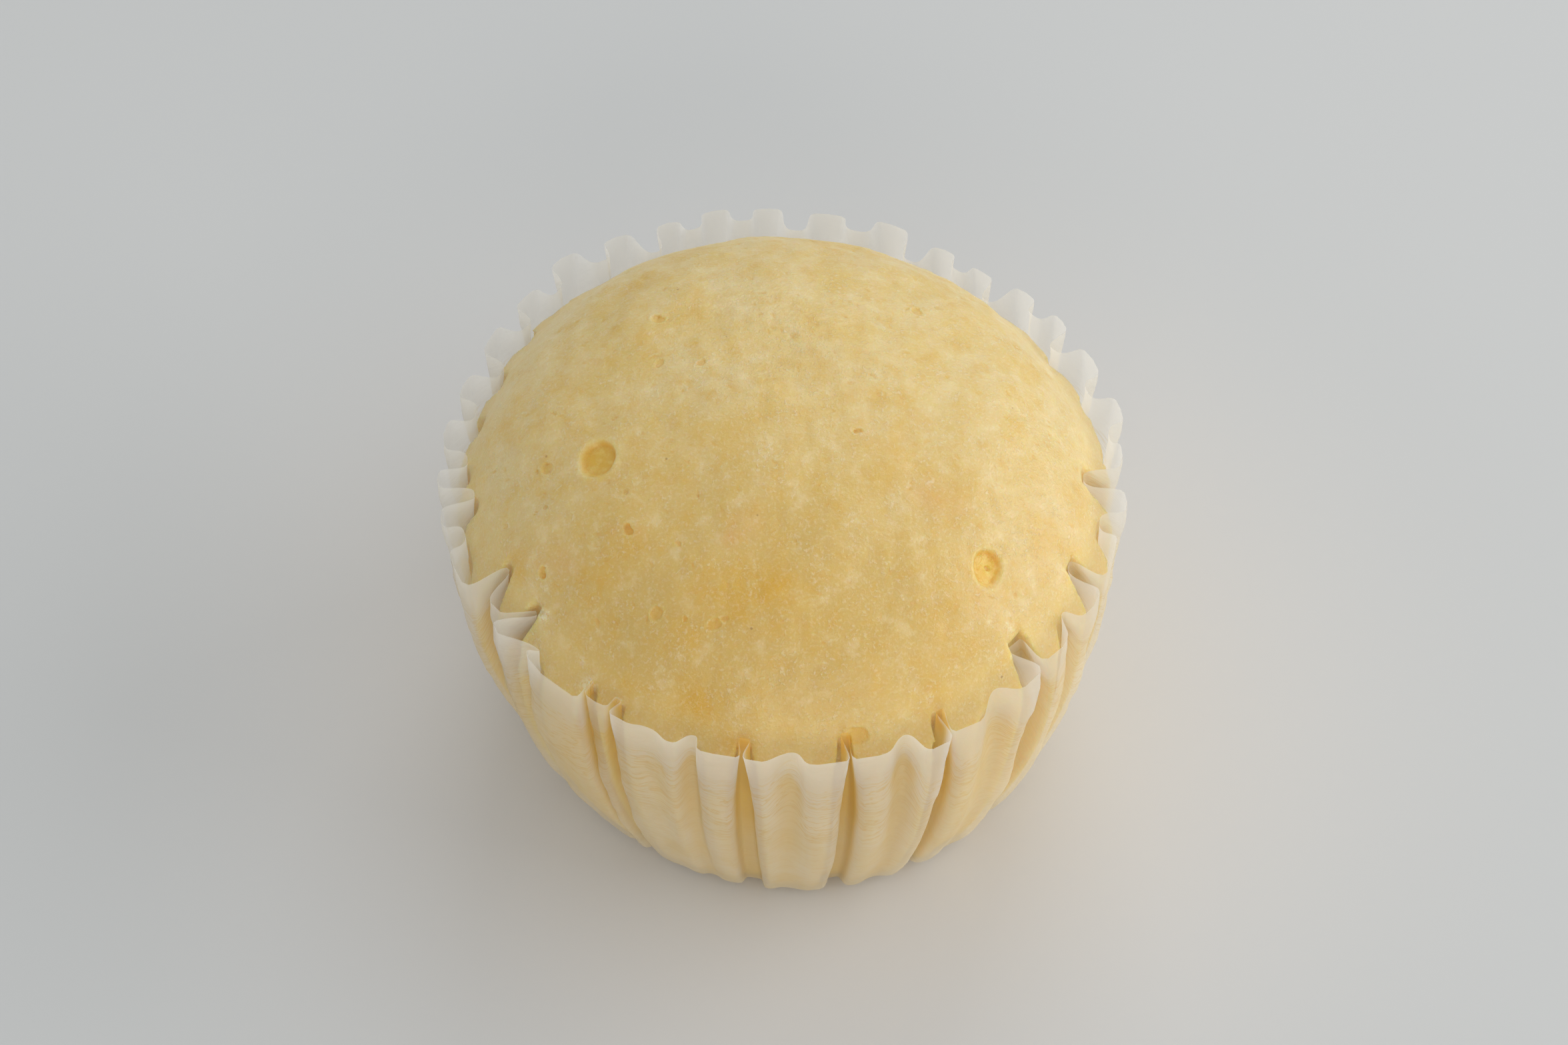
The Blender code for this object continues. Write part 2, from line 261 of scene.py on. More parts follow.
# Painted light: soaked paper paler towards the right, where light comes through it
SOAKED_PAINTED_LIGHT = (0.98, 0.94, 0.80)
TIDE = (0.90, 0.72, 0.38)
# Tight grooves: soaked golden, painted brighter as light through the paper against their shade;
# paler still towards the right, painted light
GROOVE_SOAKED_AND_LIT = (0.97, 0.73, 0.20)
GROOVE_PAINTED_LIGHT = (0.98, 0.86, 0.42)
STAIN = (0.95, 0.58, 0.12)
PAPER_EDGE_HIGHLIGHT = (0.95, 0.94, 0.90)
SPECK = (0.32, 0.12, 0.03)
TABLE_COLOURS = ((0.60, 0.605, 0.605), (0.62, 0.625, 0.625))
# Painted light: the table lighter and warmer round the cake
TABLE_PAINTED_GLOW = (0.685, 0.67, 0.66)

# Where a colour goes from none to full over the sponge, in millimetres along X, Y or Z
CRUMB_SHADE_TO_FRONT = (8.0, -22.0)
CRUMB_LIGHT_TO_RIGHT = (0.0, 22.0)
CRUMB_TO_FAR_LEFT = (-14.0, -24.0)
CRUMB_LIGHT_TO_RIM = (33.0, 29.0)
# The same over the paper
PAPER_TO_BACK = (-4.0, 14.0)
PAPER_TO_RIGHT = (6.0, 22.0)
PAPER_TO_SIDES = (8.0, 17.0)
PAPER_TO_FLANKS = (12.0, 25.0)
PAPER_TO_TIPS = (25.0, 29.0)
PAPER_TO_RIM = (25.0, 31.0)
AMBER_UP = (12.0, 22.0)
AMBER_TO_LEFT = (18.0, 13.0)
STAIN_UP = (28.0, 30.0)
# The same over the table, by distance from the cake's axis
TABLE_GLOW_TO_CAKE = (70.0, 24.0)

# Lights: name, place in metres, size, watts and colour
LIGHTS = (
    ("window", (0.75, 0.05, 0.26), 0.8, 4.0, (1.0, 0.985, 0.97)),
    ("back", (0.12, 0.58, 0.54), 0.4, 0.9, (1.0, 0.99, 0.98)),
    ("front", (0.10, -0.74, 0.28), 0.5, 1.5, (1.0, 0.94, 0.86)),
)
ROOM_COLOUR = (0.955, 0.99, 1.0, 1)
ROOM_STRENGTH = 0.585
TABLE_SIZE = 6
# The camera, fitted to the photograph: degrees above the table, then millimetres
CAMERA_ELEVATION = 54.84
CAMERA_TARGET = (-0.19, -5.10, 31.0)
CAMERA_DISTANCE = 318.1
CAMERA_LENS = 90
CAMERA_SENSOR = 36


def smooth_step(share):
    share = np.clip(share, 0, 1)
    return share * share * (3 - 2 * share)


def hill(value, middle, width):
    """A smooth hill of height one over its middle."""
    return np.exp(-(((value - middle) / width) ** 2))


def wall_radius(azimuth, height):
    """The case's wall without its pleats: a belly over a slightly oval plan."""
    share = np.clip(height / CASE_HEIGHT, 0, 1)
    round_radius = RIM_RADIUS - (RIM_RADIUS - BASE_RADIUS) * (1 - share) ** BELLY
    return round_radius + OVAL * np.cos(2 * np.radians(azimuth - OVAL_AZIMUTH))


def paper_section(height):
    """Azimuths and radii of the whole section at one height, FOLD_STEPS to a fold."""
    azimuth, depth, half_width, closing, lean, crest = (FOLDS[:, k, None] for k in range(6))
    share = height / CASE_HEIGHT
    # q runs from -1 to 1 over each fold, with the fold's inner end at 0
    q = np.linspace(-1, 1, FOLD_STEPS + 1)[None, 1:]
    after = (np.roll(azimuth, -1) - azimuth) % 360 / 2
    before = (azimuth - np.roll(azimuth, 1)) % 360 / 2
    radius = wall_radius(azimuth, height)
    room = np.radians(np.where(q > 0, after, before)) * radius
    depth = depth * (CRIMP_AT_BASE + (1 - CRIMP_AT_BASE) * share ** (DEPTH_POWER - closing))
    inward = 1 - abs(q) ** (ROUND_POWER + ROUND_GAIN * closing)
    inward = inward ** (FLANK_POWER + FLANK_GAIN * np.minimum(1, 2 * closing))
    # Sideways a fold has its own half width at WIDTH_PLACE, and meets its neighbour at 1
    outer = WIDTH_PLACE**OUTER_POWER
    round_end = 1 - LOOP_ROUNDNESS * closing
    near = np.minimum(half_width / room, WIDEST_SHARE) - outer
    near = near / (WIDTH_PLACE**round_end - outer)
    spread = room * (near * abs(q) ** round_end + (1 - near) * abs(q) ** OUTER_POWER)
    # Towards the rim its neck is pinched together, which comes to nothing at the neighbour
    reach = np.where(abs(q) > NECK_PLACE, NECK_SPREAD, NECK_REACH)
    end = hill(1, NECK_PLACE, NECK_SPREAD)
    neck = hill(abs(q), NECK_PLACE, reach) - end * abs(q) ** NECK_END_POWER
    above = max(0.0, (share - CLOSING_STARTS) / (1 - CLOSING_STARTS))
    pinch = closing * above**CLOSING_POWER
    sideways = np.sign(q) * spread * (1 - pinch * neck) + lean * share * inward
    there = azimuth + np.degrees(sideways / radius)
    stands_out = ((1 + q) * crest + (1 - q) * np.roll(crest, 1)) / 2 * share
    out = wall_radius(there, height) + stands_out - depth * inward
    return there.ravel(), out.ravel()


def oval(azimuth):
    return wall_radius(azimuth, CASE_HEIGHT) / RIM_RADIUS


def dome_radius(azimuth, height):
    share = np.clip((height - SHOULDER_HEIGHT) / (CAKE_TOP - SHOULDER_HEIGHT), 0, 1)
    return SHOULDER_RADIUS * oval(azimuth) * np.sqrt(1 - share**DOME_POWER)


def skin_height(azimuth, distance):
    """The dome's height at a distance from the axis: dome_radius the other way round."""
    across = np.clip(distance / oval(azimuth) / SHOULDER_RADIUS, 0, 1)
    return SHOULDER_HEIGHT + (CAKE_TOP - SHOULDER_HEIGHT) * (1 - across**2) ** (1 / DOME_POWER)


def to_xyz(azimuth, radius, height):
    turn = np.radians(azimuth)
    x, y, z = np.broadcast_arrays(radius * np.sin(turn), -radius * np.cos(turn), height)
    return np.stack([x, y, z], -1)


def on_skin(azimuth, distance):
    return to_xyz(azimuth, distance, skin_height(azimuth, distance))


def grid_faces(rows, columns, start=0):
    """Quads of a grid that closes on itself sideways."""
    i, k = np.meshgrid(np.arange(rows - 1), np.arange(columns), indexing="ij")
    a = start + i * columns + k
    b = start + i * columns + (k + 1) % columns
    return np.stack([a, b, b + columns, a + columns], -1).reshape(-1, 4)


def add_mesh(name, points, faces, **values):
    """A smooth mesh in metres with a number at each point for each of the values."""
    data = bpy.data.meshes.new(name)
    data.from_pydata((points * MM).tolist(), [], [list(face) for face in faces])
    data.update()
    data.shade_smooth()
    for key, numbers in values.items():
        layer = data.attributes.new(key, "FLOAT", "POINT")
        layer.data.foreach_set("value", np.asarray(numbers, np.float32).ravel())
    made = bpy.data.objects.new(name, data)
    bpy.context.scene.collection.objects.link(made)
    return made


class Waves:
    """Smooth seeded noise in space: a sum of waves in random directions."""

    def __init__(self, seed, size_mm, count=28):
        draw = np.random.default_rng(seed)
        direction = draw.normal(size=(count, 3))
        direction /= np.linalg.norm(direction, axis=1)[:, None]
        length = size_mm * draw.uniform(0.7, 1.6, (count, 1))
        self.wave = direction * 2 * math.pi / length
        self.phase = draw.uniform(0, 2 * math.pi, count)

    def __call__(self, points):
        flat = points.reshape(-1, 3)
        value = np.zeros(len(flat))
        for wave, phase in zip(self.wave, self.phase):
            value += np.sin(flat @ wave + phase)
        return (value / math.sqrt(len(self.phase) / 2)).reshape(points.shape[:-1])


def paper_heights():
    """Heights of the paper's rows from the edge of its flat base to the rim."""
    bend = SHEET_LIFT + BEND_RADIUS * np.linspace(0, 1, BEND_ROWS) ** BEND_CROWDING
    return np.concatenate([bend[:-1], np.linspace(BEND_TOP, CASE_HEIGHT, WALL_ROWS)])


def make_paper():
    """The pleated sheet: a flat base, a tight bend and the wall, with every fold of the rim.

    Each point carries how far it stands clear of the dome, how deep in a fold it is, how far
    in a tight and soaked groove, and whether it is on the cut edge, which takes a painted
    highlight.
    """
    drift = Waves(DRIFT_SEED, DRIFT_SIZE)
    crinkle = Waves(CRINKLE_SEED, CRINKLE_SIZE)
    columns = len(FOLDS) * FOLD_STEPS
    closing = np.repeat(FOLDS[:, 3], FOLD_STEPS)
    stained = np.isclose(FOLDS[:, :1] % 360, np.array(STAINED_FOLDS) % 360).any(1)
    stain = np.repeat(stained, FOLD_STEPS)
    foot, _ = paper_section(0.0)
    none = np.zeros(columns)
    rings = [(to_xyz(foot, radius, SHEET_LIFT), none, none, none) for radius in BASE_RINGS]
    for height in paper_heights():
        azimuth, radius = paper_section(height)
        drop = max(0.0, BEND_TOP - height)
        radius = radius - (BEND_RADIUS - math.sqrt(max(0.0, BEND_RADIUS**2 - drop * drop)))
        place = to_xyz(azimuth, radius, height)
        share = height / CASE_HEIGHT
        stray = np.clip(DRIFT * drift(place) + CRINKLE * crinkle(place), *STRAY_LIMITS)
        radius = radius + stray * min(1.0, STRAY_AT_BASE + share)
        top = height - share**6 * (RIM_DIP + RIM_WAVE * drift(place[:, [1, 2, 0]]))
        clear = radius - dome_radius(azimuth, max(height, SHOULDER_HEIGHT))
        deep = wall_radius(azimuth, height) - radius
        soaked = np.maximum(stain, smooth_step((DRY_TIPS - height) / DRY_TIPS_FADE))
        rings.append((to_xyz(azimuth, radius, top), clear, deep, deep * closing * soaked))
    points, clear, deep, groove = (np.concatenate(part) for part in zip(*rings))
    centre = len(points)
    faces = grid_faces(len(rings), columns).tolist()
    faces += [[(k + 1) % columns, k, centre] for k in range(columns)]
    points = np.concatenate([points, [[0, 0, SHEET_LIFT]]])
    clear, deep, groove = (np.append(part, 0) for part in (clear, deep, groove))
    # The cut edge's painted highlight
    rim = smooth_step((points[:, 2] - CASE_HEIGHT + EDGE_DROP) / EDGE_FADE)
    rim[: centre - columns] = 0
    return add_mesh(
        "paper_case_sheet", points, faces, clear=clear, deep=deep, groove=groove, rim=rim
    )


def inner_wall(height, azimuth):
    """The sponge's room inside the pleats: the least radius of the paper near each azimuth."""
    a, r = paper_section(height)
    gap = CAKE_GAP + LOWER_GAP * smooth_step((WIDE_BELOW - height) / WIDE_FADE)
    steps = np.linspace(0, 1, FINER, endpoint=False)
    onward = (np.roll(a, -1) - a + 180) % 360 - 180
    fine_a = (a[:, None] + onward[:, None] * steps).ravel() % 360
    fine_r = (r[:, None] + (np.roll(r, -1) - r)[:, None] * steps).ravel()
    least = np.full(WALL_SAMPLES, np.inf)
    sample = (fine_a * WALL_SAMPLES / 360).astype(int) % WALL_SAMPLES
    np.minimum.at(least, sample, fine_r)
    reach = NARROW_REACH if height > NARROW_ABOVE else WIDE_REACH
    least = np.min([np.roll(least, k) for k in range(-reach, reach + 1)], axis=0)
    least = np.mean([np.roll(least, k) for k in range(-1, 2)], axis=0)
    turn = np.arange(WALL_SAMPLES) * 360 / WALL_SAMPLES
    return np.interp(azimuth % 360, turn, least, period=360) - gap


def disc_grid():
    """A square grid bent into a disc: azimuth and share of the way to the edge."""
    n = CAP_CELLS + 1
    a, b = np.meshgrid(np.linspace(-1, 1, n), np.linspace(-1, 1, n), indexing="ij")
    wide = abs(a) > abs(b)
    with np.errstate(divide="ignore", invalid="ignore"):
        turn = np.where(wide, 45 * b / a, 90 - 45 * a / b)
    turn = np.where(np.isfinite(turn), turn, 0.0)
    turn += np.where(np.where(wide, a, b) < 0, 180, 0)
    return turn, np.maximum(abs(a), abs(b))


def dome_grid():
    """The dome down to CAP_HEIGHT, evenly spaced along its skin and dented by the folds."""
    turn, share = disc_grid()
    # Halfway between the oval's long and short way its radius is the mean one
    mean = OVAL_AZIMUTH + 45
    mean_edge = float(dome_radius(mean, CAP_HEIGHT))
    track = np.linspace(0, mean_edge, TRACK_POINTS)
    steps = np.hypot(np.diff(track), np.diff(skin_height(mean, track)))
    length = np.append(0, np.cumsum(steps))
    edge = dome_radius(turn, CAP_HEIGHT)
    radius = np.interp(share * length[-1], length, track) * edge / mean_edge
    height = skin_height(turn, radius)
    dent = np.maximum(0, edge - inner_wall(CAP_HEIGHT, turn))
    pressed = dent * np.exp(-(height - CAP_HEIGHT) / DENT_FADE)
    return turn, to_xyz(turn, radius - pressed, height)


def side_rings(around):
    """The sponge's side, row by row from under the dome's grid to its flat bottom."""
    rings = []
    fall = np.linspace(0, 1, SIDE_ROWS)[1:] ** SIDE_CROWDING
    for height in CAP_HEIGHT - (CAP_HEIGHT - SIDE_END) * fall:
        cling = CLING * min(1.0, (CAP_HEIGHT - height) / CLING_DROP) ** 2
        room = np.minimum(inner_wall(height, around), dome_radius(around, height) + cling)
        rings.append(to_xyz(around, room, height))
    rings.append(to_xyz(around, FLAT_BASE_RADIUS - BOTTOM_INSET, CAKE_BOTTOM))
    return rings


def make_cake():
    """The sponge: a fine grid over the dome, and flutes down its side where the paper presses."""
    turn, dome = dome_grid()
    n = CAP_CELLS + 1
    index = np.arange(n * n).reshape(n, n)
    quads = np.stack([index[:-1, :-1], index[1:, :-1], index[1:, 1:], index[:-1, 1:]], -1)
    four = (index[-1, :-1], index[::-1, -1][:-1], index[0, ::-1][:-1], index[:, 0][:-1])
    edge = np.concatenate(four)
    rings = side_rings(turn.ravel()[edge])
    count = len(edge)
    here = np.arange(count)
    onward = (here + 1) % count
    first = n * n
    seam = np.stack([edge, first + here, first + onward, np.roll(edge, -1)], -1)
    flutes = grid_faces(len(rings), count, first)[:, ::-1]
    centre = first + len(rings) * count
    last = centre - count
    fan = [[last + k, centre, last + (k + 1) % count] for k in range(count)]
    points = np.concatenate([dome.reshape(-1, 3), *rings, [[0, 0, CAKE_BOTTOM]]])
    faces = quads.reshape(-1, 4).tolist() + seam.tolist() + flutes.tolist() + fan
    points, faces = refine(points, faces)
    tints = {
        "gold": patches(points, GOLD_PATCHES),
        "blush": patches(points, BLUSH_PATCHES),
        "pale": patches(points, PALE_PATCHES),
    }
    points, tints["pit"] = weather(points, tints["pale"])
    return add_mesh("sponge_cake_body", points, faces, **tints)


def refine(points, faces):
    """Thirds the edges near the listed bubbles, so that their rims come out round."""
    mesh = bmesh.new()
    data = bpy.data.meshes.new("coarse")
    data.from_pydata(points.tolist(), [], faces)
    mesh.from_mesh(data)
    bpy.data.meshes.remove(data)
    near = np.zeros(len(points), bool)
    for azimuth, distance, radius, *_ in PITS:
        away = np.linalg.norm(points - on_skin(azimuth, distance), axis=1)
        near |= away < radius * REFINED + REFINED_MORE
    mesh.verts.ensure_lookup_table()
    edges = [edge for edge in mesh.edges if all(near[vertex.index] for vertex in edge.verts)]
    bmesh.ops.subdivide_edges(mesh, edges=edges, cuts=2, use_grid_fill=True)
    mesh.verts.index_update()
    finer = np.array([vertex.co for vertex in mesh.verts])
    corners = [[vertex.index for vertex in face.verts] for face in mesh.faces]
    mesh.free()
    return finer, corners


def patches(points, spots):
    """How strongly a list of soft round spots covers each point."""
    value = np.zeros(len(points))
    for azimuth, distance, reach, strength in spots:
        away = np.linalg.norm(points - on_skin(azimuth, distance), axis=1)
        value += strength * np.exp(-((away / reach) ** 2))
    return np.clip(value, 0, STRONGEST_PATCH)


def holes():
    """The listed bubbles and the pores: middle, radius, depth, out of round and tint."""
    found = [(on_skin(azimuth, distance), *rest) for azimuth, distance, *rest in PITS]
    draw = random.Random(PORE_SEED)
    for _ in range(PORES):
        distance = PORES_OUT_TO * math.sqrt(draw.random())
        radius = draw.uniform(*PORE_RADIUS)
        middle = on_skin(draw.uniform(0, 360), distance)
        found.append((middle, radius, radius * PORE_DEPTH, PORE_UNEVEN, PORE_TINT))
    return found


def weather(points, pale):
    """The points with lumps, bubbles and pores in the skin, and how deep each is in a hole."""
    outward = points - [0, 0, SKIN_CENTRE]
    outward /= np.linalg.norm(outward, axis=1)[:, None]
    skin = np.clip((points[:, 2] - SKIN_STARTS) / SKIN_FADE, 0, 1)
    lumps = sum(height * Waves(seed, size)(points) for seed, size, height in LUMPS)
    inward = (np.clip(lumps, -LUMP_LIMIT, LUMP_LIMIT) + LUMP_LIMIT) * skin
    inward -= CRUMB_RISE * np.clip(pale, 0, 1) * (1 + Waves(CRUMB_SEED, CRUMB_SIZE)(points))
    pit = np.zeros(len(points))
    for number, (middle, radius, depth, uneven, tint) in enumerate(holes()):
        away = points - middle
        near = np.nonzero((abs(away) < radius * BUBBLE_REACH).all(1))[0]
        away = away[near]
        angle = np.arctan2(away[:, 1], away[:, 0])
        # Two waves round the rim, turned by the hole's number
        waves = np.sin(2 * angle + number) + 0.4 * np.sin(3 * angle + 2.3 * number)
        distance = np.linalg.norm(away, axis=1) / (radius * (1 + uneven * waves))
        bowl = smooth_step((BOWL_END - distance) / BOWL_WALL)
        inward[near] += depth * bowl * (1 - BOWL_ROUND * np.clip(distance, 0, 1) ** 2)
        if number < len(PITS):
            inward[near] -= LIP * hill(distance, LIP_PLACE, LIP_WIDTH)
        inside = tint * smooth_step((TINT_END - distance) / TINT_FADE)
        pit[near] = np.maximum(pit[near], inside)
    return points - outward * inward[:, None], pit


class Nodes:
    """A node material under construction, with places in millimetres."""

    def __init__(self, name):
        self.material = bpy.data.materials.new(name)
        self.material.use_nodes = True
        self.tree = self.material.node_tree
        self.tree.nodes.clear()
        self.output = self.add("ShaderNodeOutputMaterial")
        metres = self.add("ShaderNodeTexCoord").outputs["Object"]
        self.place = self.vector("MULTIPLY", metres, (1000, 1000, 1000))

    def add(self, kind, settings=(), **inputs):
        node = self.tree.nodes.new(kind)
        for key, value in dict(settings).items():
            setattr(node, key, value)
        for key, value in inputs.items():
            self.join(node.inputs[key.replace("_", " ")], value)
        return node

    def join(self, socket, value):
        """Links a socket to another node's output, or sets it to a plain value."""
        if isinstance(value, bpy.types.NodeSocket):
            self.tree.links.new(value, socket)
        elif socket.type == "RGBA" and len(value) == 3:
            socket.default_value = (*value, 1)
        else:
            socket.default_value = value

    def axes(self):
        parts = self.add("ShaderNodeSeparateXYZ", Vector=self.place).outputs
        return parts["X"], parts["Y"], parts["Z"]

    def vector(self, operation, a, b):
        node = self.add("ShaderNodeVectorMath", {"operation": operation})
        self.join(node.inputs[0], a)
        self.join(node.inputs[1], b)
        return node.outputs[0]

    def length(self, place):
        node = self.add("ShaderNodeVectorMath", {"operation": "LENGTH"})
        self.join(node.inputs[0], place)
        return node.outputs["Value"]

    def math(self, operation, a, b=0.0):
        node = self.add("ShaderNodeMath", {"operation": operation})
        self.join(node.inputs[0], a)
        self.join(node.inputs[1], b)
        return node.outputs[0]

    def plus(self, a, b):
        return self.math("ADD", a, b)

    def minus(self, a, b):
        return self.math("SUBTRACT", a, b)

    def times(self, a, b):
        return self.math("MULTIPLY", a, b)

    def larger(self, a, b):
        return self.math("MAXIMUM", a, b)

    def unsigned(self, a):
        return self.math("ABSOLUTE", a)

    def noise(self, size_mm, detail, roughness=0.5, distortion=0.0, place=None, stretch=(1, 1, 1)):
        scaled = self.vector("MULTIPLY", place or self.place, tuple(s / size_mm for s in stretch))
        node = self.add("ShaderNodeTexNoise", Vector=scaled, Scale=1.0, Detail=detail)
        node.inputs["Roughness"].default_value = roughness
        node.inputs["Distortion"].default_value = distortion
        return node.outputs["Fac"]

    def from_specks(self, apart_mm):
        """Distance to the nearest of many scattered points, in shares of their spacing."""
        scaled = self.vector("MULTIPLY", self.place, (1 / apart_mm,) * 3)
        node = self.add("ShaderNodeTexVoronoi", Vector=scaled, Scale=1.0)
        return node.outputs["Distance"]

    def rise(self, value, low, high):
        """From 0 at low to 1 at high, smoothly."""
        node = self.add("ShaderNodeMapRange", {"interpolation_type": "SMOOTHSTEP"}, Value=value)
        node.inputs["From Min"].default_value = low
        node.inputs["From Max"].default_value = high
        return node.outputs[0]

    def mix(self, share, a, b):
        node = self.add("ShaderNodeMix", {"data_type": "RGBA"})
        self.join(node.inputs["Factor"], share)
        self.join(node.inputs[6], a)
        self.join(node.inputs[7], b)
        return node.outputs[2]

    def layers(self, colour, coats):
        """Lays coats over a colour: each has a mask, the mask's strength and its own colour."""
        for mask, strength, coat in coats:
            colour = self.mix(self.times(mask, strength), colour, coat)
        return colour

    def value(self, name):
        return self.add("ShaderNodeAttribute", {"attribute_name": name}).outputs["Fac"]

    def bump(self, height_mm):
        node = self.add("ShaderNodeBump", Height=height_mm, Strength=1.0)
        node.inputs["Distance"].default_value = MM
        return node.outputs[0]

    def blend(self, share, a, b):
        node = self.add("ShaderNodeMixShader")
        self.join(node.inputs[0], share)
        self.join(node.inputs[1], a)
        self.join(node.inputs[2], b)
        return node.outputs[0]

    def close(self, shader):
        self.join(self.output.inputs["Surface"], shader)
        return self.material


def crumb_material():
    """Steamed sponge: mottled yellow under a thin skin of pale, moist flecks, partly painted
    glints.
    """
    n = Nodes("steamed_crumb")
    x, y, z = n.axes()
    broad = n.noise(5.0, 4.0, 0.6)
    blotch = n.noise(1.6, 3.0, 0.55)
    fine = n.noise(0.24, 2.0, 0.6)
    # Pale flecks of skin in clusters; their whitish colour is partly painted glints
    fleck_clusters = n.rise(n.noise(2.6, 3.0, 0.6, 0.5), 0.42, 0.66)
    flecks = n.rise(n.noise(0.30, 3.0, 0.6, 0.25), 0.50, 0.68)
    flecks = n.times(flecks, n.plus(0.35, n.times(fleck_clusters, 0.6)))
    golden = n.times(n.value("gold"), n.rise(n.noise(1.8, 3.0, 0.55), 0.28, 0.62))
    crumbs = n.times(n.value("pale"), n.rise(fine, 0.3, 0.6))
    pit_floor = n.mix(n.rise(n.noise(0.9, 3.0, 0.6), 0.40, 0.70), PIT_FLOOR, PIT_PALE)
    colour = n.layers(n.mix(n.rise(broad, 0.36, 0.64), CREAM, BUTTER), (
        # Painted shade: darker and more golden towards the front
        (n.rise(y, *CRUMB_SHADE_TO_FRONT), 0.95, FRONT_SHADED_BUTTER),
        # Painted light: paler towards the right; the same paler cream also towards the far left
        (n.rise(x, *CRUMB_LIGHT_TO_RIGHT), 0.25, SIDE_CREAM),
        (n.rise(x, *CRUMB_TO_FAR_LEFT), 0.45, SIDE_CREAM),
        (n.rise(blotch, 0.50, 0.70), 0.38, GOLD),
        (n.rise(blotch, 0.46, 0.30), 0.25, PALE_CRUMB),
        # Painted light: brighter towards the rim, where the paper shades the crevice
        (n.rise(z, *CRUMB_LIGHT_TO_RIM), 0.5, RIM_PAINTED_LIGHT),
        (golden, 0.95, GOLD),
        (n.value("blush"), 0.5, BLUSH),
        (n.rise(fine, 0.5, 0.25), 0.14, GOLD),
        (n.rise(fine, 0.5, 0.75), 0.20, PALE_CRUMB),
        # Pale flecks of skin, partly painted glints
        (flecks, 0.34, LOOSE_CRUMB_AND_GLINT),
        (n.value("pit"), 1.0, pit_floor),
        (crumbs, 0.7, LOOSE_CRUMB_AND_GLINT),
        (n.rise(n.from_specks(3.4), 0.040, 0.02), 0.5, SPECK),
    ))
    relief_mm = n.plus(n.times(flecks, 0.045), n.times(fine, 0.06))
    relief_mm = n.plus(relief_mm, n.times(blotch, 0.05))
    rough = n.add("ShaderNodeMapRange", Value=n.noise(0.8, 2.0))
    rough.inputs["To Min"].default_value = 0.22
    rough.inputs["To Max"].default_value = 0.48
    shader = n.add("ShaderNodeBsdfPrincipled", Base_Color=colour, Normal=n.bump(relief_mm))
    n.join(shader.inputs["Roughness"], rough.outputs[0])
    shader.inputs["IOR"].default_value = 1.42
    shader.inputs["Specular IOR Level"].default_value = 0.7
    shader.inputs["Subsurface Weight"].default_value = 0.8
    shader.inputs["Subsurface Radius"].default_value = (1.0, 0.62, 0.24)
    shader.inputs["Subsurface Scale"].default_value = 2.4 * MM
    return n.close(shader.outputs[0])


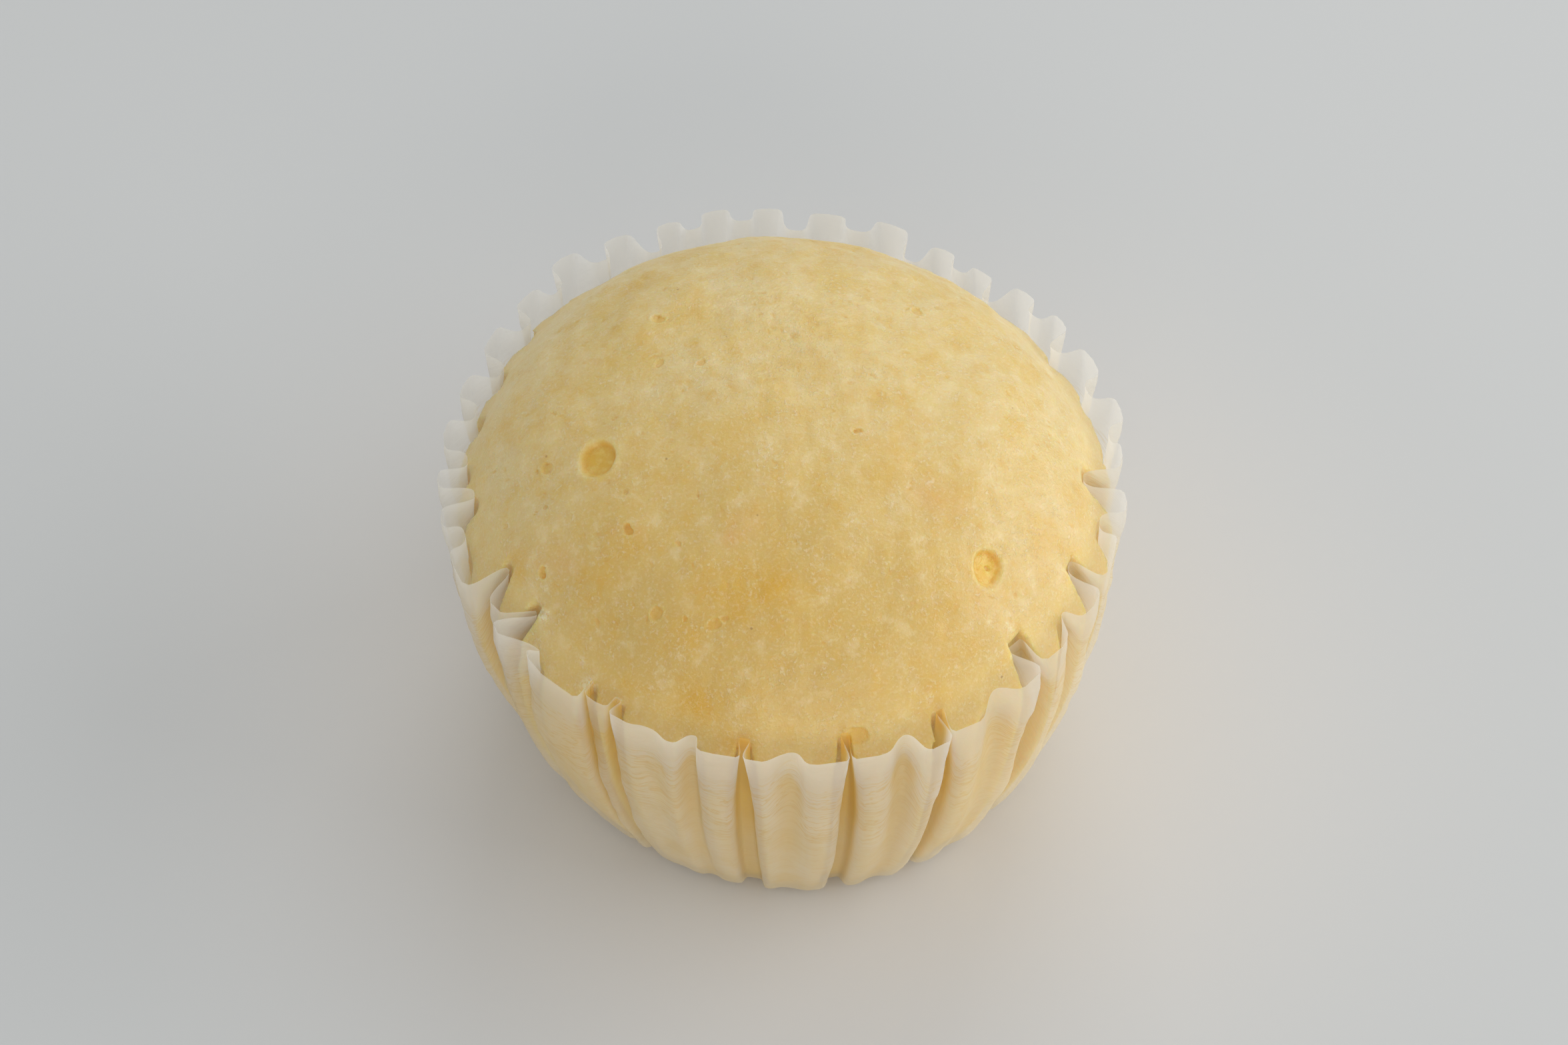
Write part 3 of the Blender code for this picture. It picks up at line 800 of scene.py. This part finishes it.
def paper_material():
    """Greaseproof paper: dry and milky at the rim, soaked golden where it lies on the sponge."""
    n = Nodes("greaseproof_paper")
    x, y, z = n.axes()
    back = n.rise(y, *PAPER_TO_BACK)
    right = n.rise(x, *PAPER_TO_RIGHT)
    side = n.rise(n.unsigned(x), *PAPER_TO_SIDES)
    away = n.larger(back, side)
    groove = n.value("groove")
    tight = n.rise(groove, 0.3, 1.1)
    tightest = n.rise(groove, 0.9, 1.5)

    # How far the paper is clear of the crumb, with a ragged edge to what is soaked
    uneven = n.noise(2.4, 3.0, 0.6, 0.4, stretch=(1, 1, 0.6))
    clear = n.plus(n.value("clear"), n.times(n.rise(z, *PAPER_TO_RIM), 0.5))
    clear = n.plus(clear, n.times(n.minus(uneven, 0.5), 0.7))
    clear = n.plus(clear, n.times(n.times(away, n.rise(z, *PAPER_TO_TIPS)), 1.4))
    clear = n.minus(clear, n.times(tightest, 1.2))
    soaked = n.rise(clear, 1.25, 0.55)

    # Tide lines that follow the edge of what is soaked
    level = n.plus(z, n.times(n.value("clear"), 2.6))
    along = n.add("ShaderNodeCombineXYZ", X=x, Y=y, Z=level).outputs[0]
    lines = n.noise(0.70, 3.0, 0.55, 0.5, place=along, stretch=(0.20, 0.20, 1))
    streak = n.rise(n.unsigned(n.minus(lines, 0.5)), 0.055, 0.0)
    tide = n.times(n.rise(clear, 2.2, 1.2), n.rise(clear, -0.6, 0.4))

    broad = n.noise(2.4, 2.0, stretch=(1, 1, 0.25))
    valley = n.times(n.rise(n.value("deep"), 0.1, 1.0), 0.65)
    flank = n.times(n.rise(n.unsigned(x), *PAPER_TO_FLANKS), 0.55)
    wet = n.layers(n.mix(n.rise(broad, 0.35, 0.62), SOAKED_PAPER, SOAKED_PALE), (
        # Painted light: the golden valleys and flanks turn paler towards the right
        (n.larger(valley, flank), 1.0, n.mix(right, SOAKED_GOLD, SOAKED_PAINTED_LIGHT)),
        (streak, 0.24, TIDE),
    ))
    # Painted light: paler and cooler away from the front, with less warm light bounced from the
    # sponge
    dry = n.mix(away, DRY_PAPER, DRY_PALE_AWAY_FROM_BOUNCE)
    # Soaked golden grooves, with painted light against their shade, paler towards the right
    amber_soaked_and_lit = n.times(n.times(tight, n.rise(z, *AMBER_UP)), n.rise(x, *AMBER_TO_LEFT))
    colour = n.layers(n.mix(soaked, dry, wet), (
        (n.times(tide, streak), 0.55, TIDE),
        (amber_soaked_and_lit, 0.95, n.mix(right, GROOVE_SOAKED_AND_LIT, GROOVE_PAINTED_LIGHT)),
        (n.times(tightest, n.rise(z, *STAIN_UP)), 0.9, STAIN),
        # Painted highlight: the dry cut edge pale
        (n.times(n.value("rim"), n.minus(1.0, soaked)), 1.0, PAPER_EDGE_HIGHLIGHT),
    ))
    fibre = n.noise(0.3, 3.0, 0.6)
    bump = n.bump(n.plus(n.times(fibre, 0.02), n.times(streak, 0.012)))

    # Part of the light glances off, part spreads through the sheet, part passes straight on
    face = n.add("ShaderNodeBsdfPrincipled", Base_Color=colour, Normal=bump)
    face.inputs["Roughness"].default_value = 0.42
    face.inputs["Specular IOR Level"].default_value = 0.3
    through = n.add("ShaderNodeBsdfTranslucent", Color=colour, Normal=bump)
    straight = n.add("ShaderNodeBsdfTransparent")
    glow = n.plus(0.52, n.times(right, 0.10))
    sheet = n.blend(glow, face.outputs[0], through.outputs[0])
    thin = n.larger(n.times(back, 0.14), n.times(right, 0.18))
    thin = n.larger(thin, n.times(side, 0.18))
    window = n.plus(n.plus(0.28, n.times(tight, 0.24)), thin)
    return n.close(n.blend(window, sheet, straight.outputs[0]))


def floor_material():
    """A pale matt table, a little warmer where the cake throws light on it."""
    n = Nodes("pale_table")
    shade = n.mix(n.noise(60.0, 2.0), *TABLE_COLOURS)
    # Painted light: lighter and warmer towards the cake
    shade = n.mix(n.rise(n.length(n.place), *TABLE_GLOW_TO_CAKE), shade, TABLE_PAINTED_GLOW)
    shader = n.add("ShaderNodeBsdfPrincipled", Base_Color=shade)
    shader.inputs["Roughness"].default_value = 0.55
    return n.close(shader.outputs[0])


def add_light(name, place, size, watts, colour):
    """A square light that faces the middle of the table."""
    light = bpy.data.lights.new(name, "AREA")
    light.size = size
    light.energy = watts
    light.color = colour
    lamp = bpy.data.objects.new(name, light)
    lamp.location = place
    lamp.rotation_euler = Vector(place).to_track_quat("Z", "Y").to_euler()
    bpy.context.scene.collection.objects.link(lamp)


def set_camera():
    """The camera at the photograph's angle."""
    camera = bpy.data.cameras.new("camera")
    camera.lens = CAMERA_LENS
    camera.sensor_width = CAMERA_SENSOR
    camera.clip_start = 0.01
    tripod = bpy.data.objects.new("camera", camera)
    elevation = math.radians(CAMERA_ELEVATION)
    back = Vector((0, -math.cos(elevation), math.sin(elevation)))
    tripod.location = (Vector(CAMERA_TARGET) + back * CAMERA_DISTANCE) * MM
    tripod.rotation_euler = (math.pi / 2 - elevation, 0, 0)
    bpy.context.scene.collection.objects.link(tripod)
    bpy.context.scene.camera = tripod


def set_stage():
    """The table, the light and the camera."""
    bpy.ops.mesh.primitive_plane_add(size=TABLE_SIZE)
    floor = bpy.context.object
    floor.name = "table"
    floor.data.materials.append(floor_material())
    for light in LIGHTS:
        add_light(*light)
    world = bpy.data.worlds.new("room")
    world.use_nodes = True
    room = world.node_tree.nodes["Background"]
    room.inputs["Color"].default_value = ROOM_COLOUR
    room.inputs["Strength"].default_value = ROOM_STRENGTH
    bpy.context.scene.world = world
    bpy.context.scene.view_settings.view_transform = "Standard"
    set_camera()


def main():
    paper = make_paper()
    paper.data.materials.append(paper_material())
    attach(paper, "root")
    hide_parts("paper_case")
    cake = make_cake()
    cake.data.materials.append(crumb_material())
    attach(cake, "root")
    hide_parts("sponge_cake")
    set_stage()


main()
